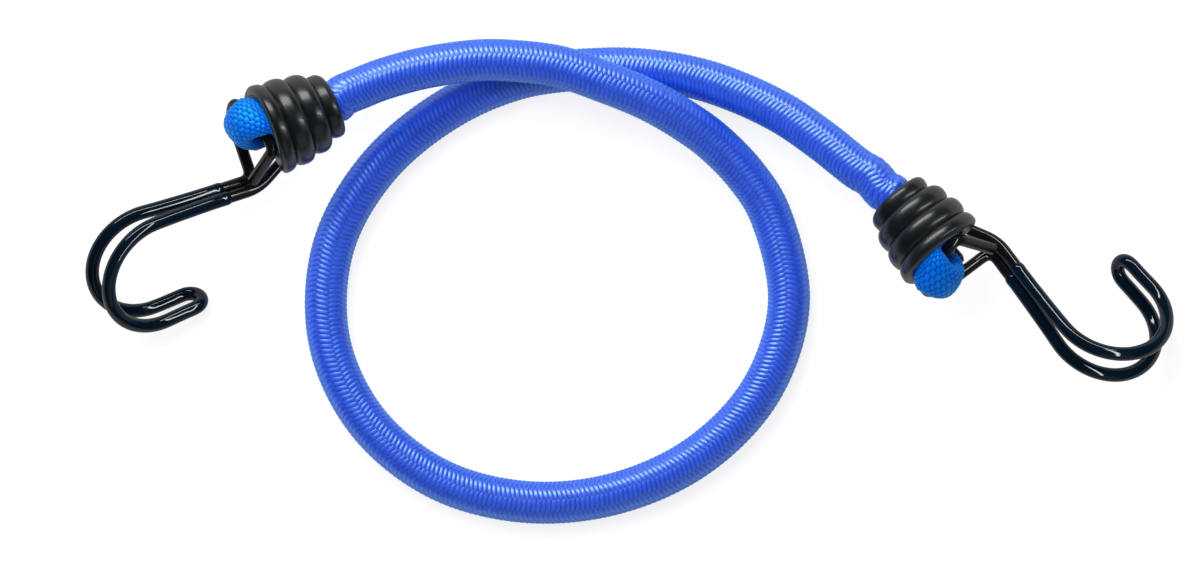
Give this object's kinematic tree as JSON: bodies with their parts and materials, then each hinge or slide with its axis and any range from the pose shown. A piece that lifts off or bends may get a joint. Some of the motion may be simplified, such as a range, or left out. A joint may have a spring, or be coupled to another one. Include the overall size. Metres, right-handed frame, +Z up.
{
  "type": "bungee cord",
  "caption": "Elastic cord with a braided sheath, laid down in a loop, with a bent wire hook held at each end by a coil of wire.",
  "frame": {"origin": "centre of the part's plan view, on the plane it lies on", "axes": "+Z up from the plane it lies on, +X from the left hook to the right hook, +Y away from the loop's near side"},
  "size_m": [0.2174, 0.0968, 0.0282],
  "materials": {
    "coil_wire": "satin black lacquer over steel wire",
    "hook_wire": "black lacquer over steel wire",
    "dip_coat": "glossy dipped vinyl, near black",
    "braid": "royal blue polyester braid with paler picks",
    "rubber_strands": "natural rubber, matt"
  },
  "bodies": {
    "cord": {"cord_sheath": "braid", "cord_core": "rubber_strands", "left_cord_fold": "braid", "left_coil": "coil_wire", "right_cord_fold": "braid", "right_coil": "coil_wire"},
    "left_hook": {"left_hook_wire": "hook_wire", "left_hook_coat": "dip_coat"},
    "right_hook": {"right_hook_wire": "hook_wire", "right_hook_coat": "dip_coat"}
  },
  "joints": [
    {"name": "left_hook_swing", "type": "hinge", "parent": "cord", "child": "left_hook", "pos_m": [-0.07482, 0.03149, 0.01981], "axis": [-0.6111, 0.7032, -0.3632], "range_deg": [-1, 130]},
    {"name": "right_hook_swing", "type": "hinge", "parent": "cord", "child": "right_hook", "pos_m": [0.06178, 0.00341, 0.01981], "axis": [-0.4744, -0.8019, -0.3632], "range_deg": [-1, 130]}
  ]
}
